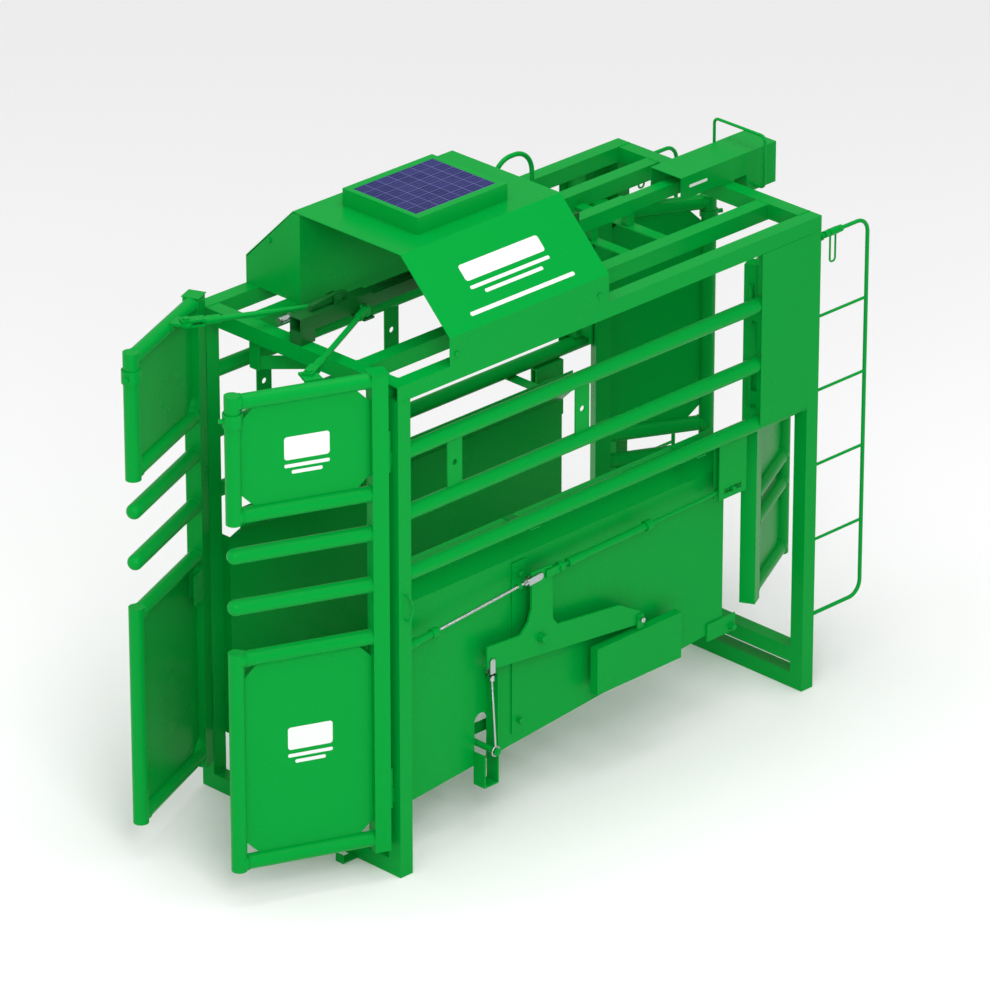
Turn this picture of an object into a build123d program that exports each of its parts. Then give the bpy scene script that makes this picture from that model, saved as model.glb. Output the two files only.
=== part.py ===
from build123d import *
import math
import os

os.makedirs("parts", exist_ok=True)

# Cattle squeeze chute. Millimetres. X is the width (near side = +X), Y the length
# (head gate at -Y, tail gate at +Y), Z up. Origin on the ground, in the middle of the
# footprint of the four corner posts.

# ---- driving dimensions: frame
FRAME_WIDTH = 1086.5
FRAME_LENGTH = 2260.5
FRAME_HEIGHT = 2016.0
TUBE = 63.5              # 2 1/2 in square tube
TUBE_WALL = 4.8
PIPE_R = 30.15           # 2 in nominal pipe
PIPE_WALL = 3.9
SHEET = 3.0
INNER_RAIL_X = 294.0     # centre of the two inner top rails
SIDE_RAIL_Z = (1234.0, 1481.0, 1730.0)
STRAP_WIDTH = 74.0
STRAP_T = 6.0
STRAP_Y = (-811.0, -142.0)
STRAP_HOLE_Z = 1605.0
STRAP_HOLE_R = 12.0
SILL_Z = 110.0           # underside of the upper rear cross tube
FIT = 0.05               # radial clearance of a running pin
GAP = 0.3                # clearance between curved faces of separate pieces
LOOSE = 8.4              # radial clearance at the open ends of the linkages

# ---- driving dimensions: side sheets, floor and linkage
SHEET_X = 440.0          # outer face of the lower side sheet
SHEET_REAR = 715.0
SHEET_FOLD_Z = 1060.0
SHEET_BEND = 60.0        # run of the 45 degree shoulder, in X and in Z
SHEET_TOP = 1204.0
SHEET_LOW_FRONT = 223.0
SHEET_LOW_REAR = 373.0
HEM_DROP = 25.0
HEM_RUN = 50.0
AXLE_Y = -606.0
AXLE_Z = 336.0
AXLE_R = 12.5
AXLE_END_R = 8.0
SLOT_HALF = 32.0
SLOT_TOP = 470.0
FLOOR_HALF = 384.0
FLOOR_FRONT = -1000.0
FLOOR_PIVOT_Y = 760.0
FLOOR_PIVOT_Z = 361.0
FLOOR_BEAM = 44.0
TREAD_FRONT = -990.0
TREAD_PITCH = 174.0
TREAD_COUNT = 10
CRANK_X = 490.0          # inner face of the bell crank plate
CRANK_T = 10.0
PIVOT_Y = -345.0
PIVOT_Z = 717.0
PIVOT_R = 12.0
LINK_PIN = (-607.0, 706.0)
EYE_X = 520.0
FRONT_PIN = (-354.0, 977.0)
REAR_PIN = (-308.0, 976.0)
PIN_R = 8.0
FRONT_ROD_END = (-1026.0, 920.5)
GUIDE_BORE = 14.2
REAR_ROD_END = (690.0, 1000.0)
WEIGHT_Y = (-54.0, 408.0)
WEIGHT_Z = (373.0, 568.0)
WEIGHT_T = 38.0
WEIGHT_BOLT = (190.0, 611.0)

# ---- driving dimensions: head gate doors (open angle is measured from closed across)
DOOR_ANGLE = 67.0
DOOR_STILE = (489.0, -1182.0)
DOOR_REACH = 560.0
DOOR_TOP = 2080.0
DOOR_FOOT = 126.0
DOOR_UPPER = (1597.0, 2050.0)
DOOR_BARS = (1229.0, 1437.0)
DOOR_LOWER = (176.0, 1015.0)
HINGE_OFFSET = 42.0      # hinge pin from the middle of the stile
HINGE_PIN_R = 6.0
BARREL_R = 9.5
BARREL_H = 83.0
DOOR_HINGE_Z = (374.0, 1755.0)
PANEL_T = 4.0
PANEL_CUT = 48.0         # corner cut of the door panels
TIE_S = 235.0            # tie rod pin along the door, from the stile
TIE_N = 75.0             # and behind the door
TIE_Z = 2075.0
TIE_R = 11.0
TIE_LOOSE = 10.5
SLIDE_X = 52.0
SLIDE_Y = -821.0

# ---- driving dimensions: hood, top beam and release
HOOD_Y = (-864.0, -34.0)
HOOD_SIDE_Z = 2129.0
HOOD_TOP_Z = 2382.0
HOOD_TOP_X = 286.0
COMPARTMENT_X = 250.0
SOLAR_X = 200.0
SOLAR_Y = (-690.0, -225.0)
SOLAR_H = 67.0
PV_X = 168.0
PV_Y = (-668.0, -253.0)
PV_DEEP = 4.0
BEAM = 60.0
BEAM_SLOT = (-985.0, -700.0)
COVER_X = 81.0
COVER_Y = (834.0, 1366.0)
COVER_STEP_Y = 1201.0
COVER_TOP = 2118.0
COVER_LOW = (1949.0, 2025.0)
BAIL_Y = 1245.0
BAIL_Z = 1972.0
BAIL_TOP = 2187.0
BAIL_X = 135.0
BAIL_R = 6.0

# ---- driving dimensions: tail gate and rear ladders
TAIL_ANGLE = 63.0
TAIL_STILE = (408.0, 903.0)
TAIL_REACH = 442.0
TAIL_Z = (411.0, 1849.0)
TAIL_BARS = (450.0, 735.0, 850.0, 1800.0)
TAIL_HINGE_Z = (1340.0, 1690.0)
TAIL_POST = 50.0
TAIL_SHEET_Y = 803.0
LADDER_Y = 1428.0
LADDER_Z = (299.0, 1910.0)
LADDER_RUNGS = (622.0, 944.0, 1261.0, 1574.0)
LADDER_R = 8.0
RUNG_R = 6.0
LADDER_BEND = 60.0
LOOP_Y = 1215.0
LOOP_R = 4.0

HALF_W = FRAME_WIDTH / 2
HALF_L = FRAME_LENGTH / 2
POST_X = HALF_W - TUBE / 2
POST_Y = HALF_L - TUBE / 2
INNER_Y = HALF_L - TUBE
INNER_X = HALF_W - TUBE
RAIL_Z = FRAME_HEIGHT - TUBE / 2
RAIL_LOW = FRAME_HEIGHT - TUBE
SIDES = (("near", 1), ("far", -1))


def save(part, name):
    """Labels a finished piece and writes it to its own file."""
    part.label = name
    export_step(part, f"parts/{name}.step")


def tube(plane, size, wall, length, mode=Mode.ADD):
    """Square tube from the plane along its normal."""
    with BuildSketch(plane) as section:
        Rectangle(size, size)
        Rectangle(size - 2 * wall, size - 2 * wall, mode=Mode.SUBTRACT)
    extrude(section.sketch, amount=length, mode=mode)


def rod(start, end, radius, bore=0.0, mode=Mode.ADD):
    """Round bar, or a pipe when it has a bore, between two points."""
    axis = Vector(*end) - Vector(*start)
    with BuildSketch(Plane(origin=start, z_dir=axis)) as section:
        Circle(radius)
        if bore:
            Circle(bore, mode=Mode.SUBTRACT)
    extrude(section.sketch, amount=axis.length, mode=mode)


def block(x, y, z, mode=Mode.ADD):
    """Flat plate or block between three pairs of limits."""
    low = [min(limits) for limits in (x, y, z)]
    size = [abs(limits[1] - limits[0]) for limits in (x, y, z)]
    with BuildSketch(Plane.XY.offset(low[2])) as base:
        with Locations((low[0] + size[0] / 2, low[1] + size[1] / 2)):
            Rectangle(size[0], size[1])
    extrude(base.sketch, amount=size[2], mode=mode)


def plate(plane, points, thickness, mode=Mode.ADD, both=False):
    """Flat plate of any outline, from the plane along its normal."""
    with BuildSketch(plane) as outline:
        with BuildLine():
            Polyline(*points, close=True)
        make_face()
    extrude(outline.sketch, amount=thickness, both=both, mode=mode)


def bent_rod(points, radius, bend, mode=Mode.ADD):
    """Round bar along straight runs that are joined by arcs."""
    with BuildLine() as path:
        FilletPolyline(*points, radius=bend)
    with BuildSketch(Plane(origin=path.line @ 0, z_dir=path.line % 0)) as section:
        Circle(radius)
    sweep(section.sketch, path=path.line, mode=mode)


def pipe_edge(frame, reach, low, high, radius):
    """Top pipe, bottom pipe and the free upright of a door panel."""
    for z in (low, high):
        rod(at(frame, 0, 0, z), at(frame, reach, 0, z), radius)
    rod(at(frame, reach, 0, low - radius), at(frame, reach, 0, high + radius), radius + GAP)


def hollow_edge(frame, reach, low, high, radius, stop):
    """Bores of the three pipes of a door panel, ending short of the joints."""
    for z in (low, high):
        rod(at(frame, stop, 0, z), at(frame, reach - stop, 0, z), radius, mode=Mode.SUBTRACT)
    rod(at(frame, reach, 0, low + stop), at(frame, reach, 0, high - stop), radius,
        mode=Mode.SUBTRACT)


def bar_dome(frame, reach, z, radius):
    """Rounded free end of a door bar, with a small flat at its tip."""
    with Locations(Plane(origin=at(frame, reach, 0, z), z_dir=frame[1]).location):
        Sphere(radius)
    rod(at(frame, reach + radius - 1, 0, z), at(frame, reach + radius + 5, 0, z), radius,
        mode=Mode.SUBTRACT)


def leaf(side, stile, angle, forward):
    """Direction of a door from its stile, and its outward normal, in plan."""
    turn = math.radians(angle)
    along = Vector(-side * math.cos(turn), forward * math.sin(turn), 0)
    outward = Vector(side * math.sin(turn), forward * math.cos(turn), 0)
    origin = Vector(side * stile[0], stile[1], 0)
    return origin, along, outward


def at(frame, s, n, z):
    """Point of a door: s along it, n outward from it, z up."""
    origin, along, outward = frame
    spot = origin + along * s + outward * n
    return (spot.X, spot.Y, z)


def leaf_plane(frame, n=0.0):
    """Plane of a door's elevation: local x runs along the door, local y up."""
    origin, along, outward = frame
    spot = origin + outward * n
    return Plane(origin=spot, x_dir=along, z_dir=along.cross(Vector(0, 0, 1)))


def cut_corners(s0, s1, z0, z1, cut):
    """Outline of a sheet panel with its four corners cut off."""
    return [(s0 + cut, z0), (s1 - cut, z0), (s1, z0 + cut), (s1, z1 - cut),
            (s1 - cut, z1), (s0 + cut, z1), (s0, z1 - cut), (s0, z0 + cut)]


# ---- welded frame: posts, top ring, inner top rails, bottom cross tubes
with BuildPart() as corner_posts:
    for name, side in SIDES:
        for y in (-POST_Y, POST_Y):
            tube(Plane.XY.move(Location((side * POST_X, y, 0))), TUBE, TUBE_WALL, RAIL_LOW)
save(corner_posts.part, "corner_posts")

with BuildPart() as side_top_rails:
    for name, side in SIDES:
        tube(Plane(origin=(side * POST_X, -HALF_L, RAIL_Z), z_dir=(0, 1, 0)), TUBE, TUBE_WALL,
             FRAME_LENGTH)
save(side_top_rails.part, "side_top_rails")

with BuildPart() as cross_top_rails:
    for y in (-POST_Y, POST_Y):
        tube(Plane(origin=(-INNER_X, y, RAIL_Z), z_dir=(1, 0, 0)), TUBE, TUBE_WALL, 2 * INNER_X)
save(cross_top_rails.part, "cross_top_rails")

with BuildPart() as inner_top_rails:
    for name, side in SIDES:
        tube(Plane(origin=(side * INNER_RAIL_X, -INNER_Y, RAIL_Z), z_dir=(0, 1, 0)), TUBE,
             TUBE_WALL, 2 * INNER_Y)
save(inner_top_rails.part, "inner_top_rails")

with BuildPart() as bottom_cross_rails:
    for y, z in ((-POST_Y, TUBE / 2), (POST_Y, TUBE / 2), (POST_Y, SILL_Z + TUBE / 2)):
        tube(Plane(origin=(-INNER_X, y, z), z_dir=(1, 0, 0)), TUBE, TUBE_WALL, 2 * INNER_X)
    for name, side in SIDES:
        block((side * 270, side * 310), (-HALF_L - 75, -HALF_L), (0, 6))
        block((side * 270, side * 310), (-HALF_L - 75, -HALF_L - 69), (0, 34))
save(bottom_cross_rails.part, "bottom_cross_rails")

# three pipes along each side, between the posts, and the drilled flat straps between them
with BuildPart() as side_pipe_rails:
    for name, side in SIDES:
        for z in SIDE_RAIL_Z:
            rod((side * POST_X, -INNER_Y, z), (side * POST_X, INNER_Y, z), PIPE_R,
                PIPE_R - PIPE_WALL)
save(side_pipe_rails.part, "side_pipe_rails")

with BuildPart() as drilled_straps:
    low = SIDE_RAIL_Z[1] + PIPE_R + GAP
    high = SIDE_RAIL_Z[2] - PIPE_R - GAP
    for name, side in SIDES:
        for y in STRAP_Y:
            block((side * POST_X - STRAP_T / 2, side * POST_X + STRAP_T / 2),
                  (y - STRAP_WIDTH / 2, y + STRAP_WIDTH / 2), (low, high))
            rod((side * POST_X - STRAP_T, y, STRAP_HOLE_Z), (side * POST_X + STRAP_T, y, STRAP_HOLE_Z),
                STRAP_HOLE_R, mode=Mode.SUBTRACT)
save(drilled_straps.part, "drilled_straps")

# ---- lower side sheets: a flat wall, a 45 degree shoulder and an upright lip, with a hem
for name, side in SIDES:
    with BuildPart() as side_sheet:
        wall_x = min(side * SHEET_X, side * (SHEET_X - SHEET))
        slope = (SHEET_LOW_REAR - SHEET_LOW_FRONT) / (SHEET_REAR + INNER_Y)
        plate(Plane.YZ.offset(wall_x),
              [(-INNER_Y, SHEET_LOW_FRONT), (SHEET_REAR, SHEET_LOW_REAR),
               (SHEET_REAR, SHEET_FOLD_Z), (-INNER_Y, SHEET_FOLD_Z)], SHEET)
        shoulder = [(SHEET_X, SHEET_FOLD_Z), (SHEET_X - SHEET_BEND, SHEET_FOLD_Z + SHEET_BEND),
                    (SHEET_X - SHEET_BEND, SHEET_TOP), (SHEET_X - SHEET_BEND - SHEET, SHEET_TOP),
                    (SHEET_X - SHEET_BEND - SHEET, SHEET_FOLD_Z + SHEET_BEND - SHEET / 2),
                    (SHEET_X - SHEET, SHEET_FOLD_Z)]
        plate(Plane.XZ.offset(INNER_Y), [(side * x, z) for x, z in shoulder],
              -(SHEET_REAR + INNER_Y))
        hem = [(SHEET_X, 0), (SHEET_X - HEM_RUN, -HEM_DROP), (SHEET_X - HEM_RUN - SHEET, -HEM_DROP),
               (SHEET_X - SHEET, 0)]
        low_line = Vector(0, SHEET_REAR + INNER_Y, SHEET_LOW_REAR - SHEET_LOW_FRONT)
        with BuildSketch(Plane.XZ.offset(INNER_Y)) as hem_section:
            with BuildLine():
                Polyline(*[(side * x, z + SHEET_LOW_FRONT) for x, z in hem], close=True)
            make_face()
        extrude(hem_section.sketch, amount=low_line.length, dir=low_line.normalized())
        block((side * SHEET_X, side * (HALF_W - SHEET)), (-INNER_Y, -INNER_Y + SHEET),
              (SHEET_LOW_FRONT, SHEET_FOLD_Z))
        block((side * (SHEET_X - HEM_RUN - 20), side * (SHEET_X + 10)),
              (AXLE_Y - SLOT_HALF, AXLE_Y + SLOT_HALF), (SHEET_LOW_FRONT - 60, SLOT_TOP - SLOT_HALF),
              mode=Mode.SUBTRACT)
        rod((side * (SHEET_X - 20), AXLE_Y, SLOT_TOP - SLOT_HALF),
            (side * (SHEET_X + 10), AXLE_Y, SLOT_TOP - SLOT_HALF), SLOT_HALF, mode=Mode.SUBTRACT)
    save(side_sheet.part, f"side_sheet_{name}")

# flat hangers from the third pipe to the lip of the side sheet, and a stiffener on its wall
HANGER_Y = (-400.0, 500.0)
STIFFENER_Y = -408.0
with BuildPart() as sheet_straps:
    for name, side in SIDES:
        for y in HANGER_Y:
            block((side * (SHEET_X - SHEET_BEND), side * (POST_X + 12)), (y - 25, y + 25),
                  (SIDE_RAIL_Z[0] - PIPE_R - GAP - STRAP_T, SIDE_RAIL_Z[0] - PIPE_R - GAP))
    for name, side in SIDES:
        block((side * SHEET_X, side * (SHEET_X + STRAP_T)),
              (STIFFENER_Y - STRAP_WIDTH / 2, STIFFENER_Y + STRAP_WIDTH / 2),
              (SHEET_LOW_FRONT + 100, SHEET_FOLD_Z - 20))
        for z in (SHEET_LOW_FRONT + 150, SHEET_FOLD_Z - 70):
            rod((side * (SHEET_X + STRAP_T), STIFFENER_Y, z),
                (side * (SHEET_X + STRAP_T + 9), STIFFENER_Y, z), 11)
save(sheet_straps.part, "sheet_straps")

# U shaped guide under each axle slot
GUIDE = 60.0
with BuildPart() as axle_guides:
    for name, side in SIDES:
        inner, outer = side * SHEET_X, side * (SHEET_X + GUIDE)
        front, rear = AXLE_Y - SLOT_HALF, AXLE_Y + SLOT_HALF
        low = SHEET_LOW_FRONT - 35
        block((inner, outer), (front - STRAP_T, front), (low, SHEET_LOW_FRONT + 95))
        block((inner, outer), (rear, rear + STRAP_T), (low, SLOT_TOP + 170))
        block((inner, outer), (front - STRAP_T, rear + STRAP_T), (low - STRAP_T, low))
save(axle_guides.part, "axle_guides")

# sheets that close the rear end of each side, and the upright behind each
with BuildPart() as rear_side_sheets:
    for name, side in SIDES:
        x = POST_X + PIPE_R + GAP
        block((side * x, side * (x + SHEET)), (TAIL_SHEET_Y, INNER_Y), (SIDE_RAIL_Z[0], RAIL_LOW))
save(rear_side_sheets.part, "rear_side_sheets")

# ---- head gate doors
HEAD_BARREL_GAP = 0.2
for name, side in SIDES:
    door = leaf(side, DOOR_STILE, DOOR_ANGLE, -1)
    bore = PIPE_R - PIPE_WALL
    collar_z = DOOR_UPPER[1] - PIPE_R - 35
    with BuildPart() as door_frame:
        with BuildSketch(Plane(origin=at(door, 0, 0, DOOR_FOOT), x_dir=door[1],
                               z_dir=(0, 0, 1))) as stile:
            Rectangle(TUBE, TUBE)
        extrude(stile.sketch, amount=DOOR_TOP - DOOR_FOOT)
        for low, high in (DOOR_UPPER, DOOR_LOWER):
            pipe_edge(door, DOOR_REACH, low, high, PIPE_R)
        for z in DOOR_BARS:
            rod(at(door, 0, 0, z), at(door, DOOR_REACH, 0, z), PIPE_R)
            bar_dome(door, DOOR_REACH, z, PIPE_R)
        with BuildSketch(Plane(origin=at(door, 0, 0, DOOR_FOOT - 1), x_dir=door[1],
                               z_dir=(0, 0, 1))) as hollow:
            Rectangle(TUBE - 2 * TUBE_WALL, TUBE - 2 * TUBE_WALL)
        extrude(hollow.sketch, amount=DOOR_TOP - DOOR_FOOT - TUBE_WALL, mode=Mode.SUBTRACT)
        for low, high in (DOOR_UPPER, DOOR_LOWER):
            hollow_edge(door, DOOR_REACH, low, high, bore, TUBE / 2 + 3)
        for z in DOOR_BARS:
            rod(at(door, TUBE / 2 + 3, 0, z), at(door, DOOR_REACH, 0, z), bore, mode=Mode.SUBTRACT)
        for z in DOOR_HINGE_Z:
            spot = -HINGE_OFFSET
            rod(at(door, spot, 0, z + HEAD_BARREL_GAP), at(door, spot, 0, z + BARREL_H), BARREL_R)
            with BuildSketch(leaf_plane(door)) as strap:
                with Locations((-(TUBE / 2 + HINGE_OFFSET) / 2, z + BARREL_H / 2)):
                    Rectangle(HINGE_OFFSET - TUBE / 2, BARREL_H * 0.75)
            extrude(strap.sketch, amount=4, both=True)
            rod(at(door, spot, 0, z - 1), at(door, spot, 0, z + BARREL_H + 1), HINGE_PIN_R + FIT,
                mode=Mode.SUBTRACT)
        lug = [(TIE_S - 34, -PIPE_R + 8), (TIE_S + 34, -PIPE_R + 8), (TIE_S + 32, -TIE_N - 28),
               (TIE_S - 32, -TIE_N - 28)]
        with BuildSketch(Plane.XY.offset(TIE_Z - 5)) as lug_outline:
            with BuildLine():
                Polyline(*[at(door, s, n, 0)[:2] for s, n in lug], close=True)
            make_face()
        extrude(lug_outline.sketch, amount=10)
        rod(at(door, TIE_S, -TIE_N, TIE_Z - 6), at(door, TIE_S, -TIE_N, TIE_Z + 6),
            PIN_R + TIE_LOOSE, mode=Mode.SUBTRACT)
        gusset = [(95, -3), (95, -60), (170, -60), (170, -55), (100, -55), (100, -3)]
        with BuildSketch(Plane.XY.offset(DOOR_LOWER[1] - 135)) as gusset_outline:
            with BuildLine():
                Polyline(*[at(door, s, n, 0)[:2] for s, n in gusset], close=True)
            make_face()
        extrude(gusset_outline.sketch, amount=120)
        drop = [(TIE_S + 34, -PIPE_R + 8), (TIE_S - 34, -PIPE_R + 8), (TIE_S - 34, -PIPE_R - 6),
                (TIE_S + 34, -PIPE_R - 6)]
        with BuildSketch(Plane.XY.offset(DOOR_UPPER[1])) as drop_outline:
            with BuildLine():
                Polyline(*[at(door, s, n, 0)[:2] for s, n in drop], close=True)
            make_face()
        extrude(drop_outline.sketch, amount=TIE_Z - DOOR_UPPER[1])
    save(door_frame.part, f"head_door_frame_{name}")

    with BuildPart() as door_panels:
        for low, high in (DOOR_UPPER, DOOR_LOWER):
            inset = PIPE_R + 2 * GAP
            plate(leaf_plane(door), cut_corners(TUBE / 2 + FIT, DOOR_REACH - inset, low + inset,
                                                high - inset, PANEL_CUT), PANEL_T / 2, both=True)
        rod(at(door, DOOR_REACH, 0, collar_z - 28), at(door, DOOR_REACH, 0, collar_z + 28),
            PIPE_R + 9, mode=Mode.SUBTRACT)
        rod(at(door, DOOR_REACH, 0, collar_z - 26), at(door, DOOR_REACH, 0, collar_z + 26),
            PIPE_R + 7, PIPE_R + 2 * GAP)
        rod(at(door, DOOR_REACH + PIPE_R + 5, 0, collar_z), at(door, DOOR_REACH + PIPE_R + 22, 0,
                                                                collar_z), 9)
    save(door_panels.part, f"head_door_panels_{name}")

# lower half of each lift-off hinge, welded to the front of the post, with its pin
with BuildPart() as door_hinge_lugs:
    for name, side in SIDES:
        door = leaf(side, DOOR_STILE, DOOR_ANGLE, -1)
        for z in DOOR_HINGE_Z:
            rod(at(door, -HINGE_OFFSET, 0, z - BARREL_H), at(door, -HINGE_OFFSET, 0, z), BARREL_R)
            rod(at(door, -HINGE_OFFSET, 0, z - 1), at(door, -HINGE_OFFSET, 0, z + BARREL_H - 4),
                HINGE_PIN_R)
            pin_x, pin_y, base = at(door, -HINGE_OFFSET, 0, z)
            block((pin_x - 5, pin_x + 5), (pin_y, -HALF_L), (z - BARREL_H * 0.75, z - 6))
save(door_hinge_lugs.part, "door_hinge_lugs")

# ---- slide housing on the front cross rail, the slide bar inside it and the tie rods
HOUSING_Z = FRAME_HEIGHT + 48.0
HOUSING_FRONT = -HALF_L + 5.0
HOUSING_MID = -760.0
HOUSING_REAR = 330.0
FLAT_T = 6.0
LEVER_Y = -930.0
LEVER_Z = HOUSING_Z + BEAM + 22.0
with BuildPart() as slide_housing:
    block((-BEAM / 2, BEAM / 2), (HOUSING_FRONT, HOUSING_FRONT + 72), (FRAME_HEIGHT, HOUSING_Z))
    tube(Plane(origin=(0, HOUSING_FRONT, HOUSING_Z + BEAM / 2), z_dir=(0, 1, 0)), BEAM, 5,
         HOUSING_MID - HOUSING_FRONT)
    for x in (-BEAM / 2, BEAM / 2 - FLAT_T):
        block((x, x + FLAT_T), (HOUSING_MID - 40, HOUSING_REAR), (HOUSING_Z, HOUSING_Z + BEAM - 10))
    block((-BEAM / 2, BEAM / 2), (HOUSING_REAR - 30, HOUSING_REAR), (HOUSING_Z, HOUSING_Z + 6))
    block((-9, 9), BEAM_SLOT, (HOUSING_Z - 1, HOUSING_Z + 6), mode=Mode.SUBTRACT)
    for x in (-24, 18):
        block((x, x + 6), (LEVER_Y - 18, LEVER_Y + 18), (HOUSING_Z + BEAM, LEVER_Z + 14))
    rod((-30, LEVER_Y, LEVER_Z), (30, LEVER_Y, LEVER_Z), 6)
save(slide_housing.part, "slide_housing")

with BuildPart() as head_slide_bar:
    block((-22, 22), (SLIDE_Y - 110, SLIDE_Y + 120), (HOUSING_Z + 6, HOUSING_Z + BEAM - 8))
    block((-10, 10), (SLIDE_Y + 110, HOUSING_REAR - 160), (HOUSING_Z + 14, HOUSING_Z + 44))
    block((-7, 7), (SLIDE_Y - 22, SLIDE_Y + 22), (HOUSING_Z - 16, HOUSING_Z + 8))
    block((-SLIDE_X - 24, SLIDE_X + 24), (SLIDE_Y - 26, SLIDE_Y + 26),
          (TIE_Z - 32, TIE_Z - 24))
    for side in (1, -1):
        rod((side * SLIDE_X, SLIDE_Y, TIE_Z - 26), (side * SLIDE_X, SLIDE_Y, TIE_Z + 24), PIN_R)
save(head_slide_bar.part, "head_slide_bar")

for name, side in SIDES:
    door = leaf(side, DOOR_STILE, DOOR_ANGLE, -1)
    start = Vector(side * SLIDE_X, SLIDE_Y, TIE_Z)
    end = Vector(*at(door, TIE_S, -TIE_N, TIE_Z))
    unit = (end - start).normalized()
    with BuildPart() as tie_rod:
        rod(start - Vector(0, 0, 20), start + Vector(0, 0, 16), 20)
        rod(start + unit * 15, start + unit * 70, 17)
        rod(start + unit * 60, end - unit * 100, TIE_R)
        rod(end - unit * 130, end - unit * 66, 17)
        across = unit.cross(Vector(0, 0, 1))
        for z in (TIE_Z + 5.5, TIE_Z - 14.5):
            corners = [end - unit * 70 - across * 20, end - unit * 70 + across * 20,
                       end + unit * 20 + across * 20, end + unit * 20 - across * 20]
            plate(Plane.XY.offset(z), [(spot.X, spot.Y) for spot in corners], 9)
        rod(end - unit * 70, end - unit * 58, 14.4)
        rod(end - Vector(0, 0, 24), end + Vector(0, 0, 22), PIN_R)
        rod(end + Vector(0, 0, 14.4), end + Vector(0, 0, 22), 13)
        rod(start - Vector(0, 0, 30), start + Vector(0, 0, 30), PIN_R + FIT, mode=Mode.SUBTRACT)
    save(tie_rod.part, f"tie_rod_{name}")

# coil spring on its guide rod beside the front end of the housing
SPRING_X = -BEAM / 2 - 16.0
SPRING_Z = HOUSING_Z + 42.0
SPRING_Y = (HOUSING_FRONT - 34.0, HOUSING_FRONT + 14.0)
with BuildPart() as spring_rod:
    rod((SPRING_X, SPRING_Y[0] - 8, SPRING_Z), (SPRING_X, SPRING_Y[1] + 60, SPRING_Z), 5)
    rod((SPRING_X, SPRING_Y[0] - 8, SPRING_Z), (SPRING_X, SPRING_Y[0], SPRING_Z), 15)
    block((SPRING_X - 13, -BEAM / 2), (SPRING_Y[1], SPRING_Y[1] + 8), (SPRING_Z - 13, SPRING_Z + 13))
save(spring_rod.part, "spring_rod")

with BuildPart() as slide_spring:
    rod((SPRING_X, SPRING_Y[0], SPRING_Z), (SPRING_X, SPRING_Y[1], SPRING_Z), 13, 8)
save(slide_spring.part, "slide_spring")

# hold lever on top of the housing, hinged on a cross pin in two ears
with BuildPart() as hold_lever:
    with BuildSketch(Plane.YZ.offset(-10)) as lever_outline:
        with BuildLine():
            Polyline((LEVER_Y - 120, LEVER_Z - 12), (LEVER_Y + 10, LEVER_Z - 14),
                     (LEVER_Y + 60, LEVER_Z - 8), (LEVER_Y + 60, LEVER_Z + 8),
                     (LEVER_Y + 8, LEVER_Z + 14), (LEVER_Y - 60, LEVER_Z + 10),
                     (LEVER_Y - 120, LEVER_Z + 2), close=True)
        make_face()
    extrude(lever_outline.sketch, amount=20)
    rod((-40, LEVER_Y, LEVER_Z), (40, LEVER_Y, LEVER_Z), 6 + FIT, mode=Mode.SUBTRACT)
save(hold_lever.part, "hold_lever")

# flat strap that hangs from the front cross rail and ends just under the sliding cross plate
SLIDE_CLEAR = 7.0
BAR_H = 54.0
with BuildPart() as hanging_strap:
    start = (-250.0, -HALF_L + 30)
    end = (-39.0, -887.0)
    low = RAIL_LOW - 124
    block((start[0] - 25, start[0] + 25), (start[1] - 3, start[1] + 3), (low, RAIL_LOW))
    run = Vector(end[0] - start[0], end[1] - start[1], 0)
    side_step = run.normalized().cross(Vector(0, 0, 1)) * 3
    corners = [Vector(*start) + side_step, Vector(*end) + side_step, Vector(*end) - side_step,
               Vector(*start) - side_step]
    plate(Plane.XY.offset(low), [(spot.X, spot.Y) for spot in corners], BAR_H)
    block((end[0] - 3, end[0] + 3), (end[1] - 25, end[1] + 25), (low, TIE_Z - 32 - SLIDE_CLEAR))
save(hanging_strap.part, "hanging_strap")

# ---- top beam from the hood to the release cover
BEAM_LOW = FRAME_HEIGHT + 9.0
BEAM_TIE_Y = (400.0, 600.0)
with BuildPart() as top_beam:
    tube(Plane(origin=(0, HOUSING_REAR + GAP, BEAM_LOW + 25), z_dir=(0, 1, 0)), 50, 4,
         COVER_STEP_Y - HOUSING_REAR - 30)
    tube(Plane(origin=(0, HOUSING_REAR + GAP, BEAM_LOW + 25), z_dir=(0, 1, 0)), 58, 4, 290)
    block((-32, 32), (INNER_Y + 5, HALF_L - 5), (FRAME_HEIGHT, BEAM_LOW))
    for y in BEAM_TIE_Y:
        block((-INNER_RAIL_X + TUBE / 2, INNER_RAIL_X - TUBE / 2), (y, y + 50),
              (RAIL_LOW + 10, RAIL_LOW + 16))
        block((-20, 20), (y + 10, y + 40), (RAIL_LOW + 16, BEAM_LOW - 4))
save(top_beam.part, "top_beam")

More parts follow.
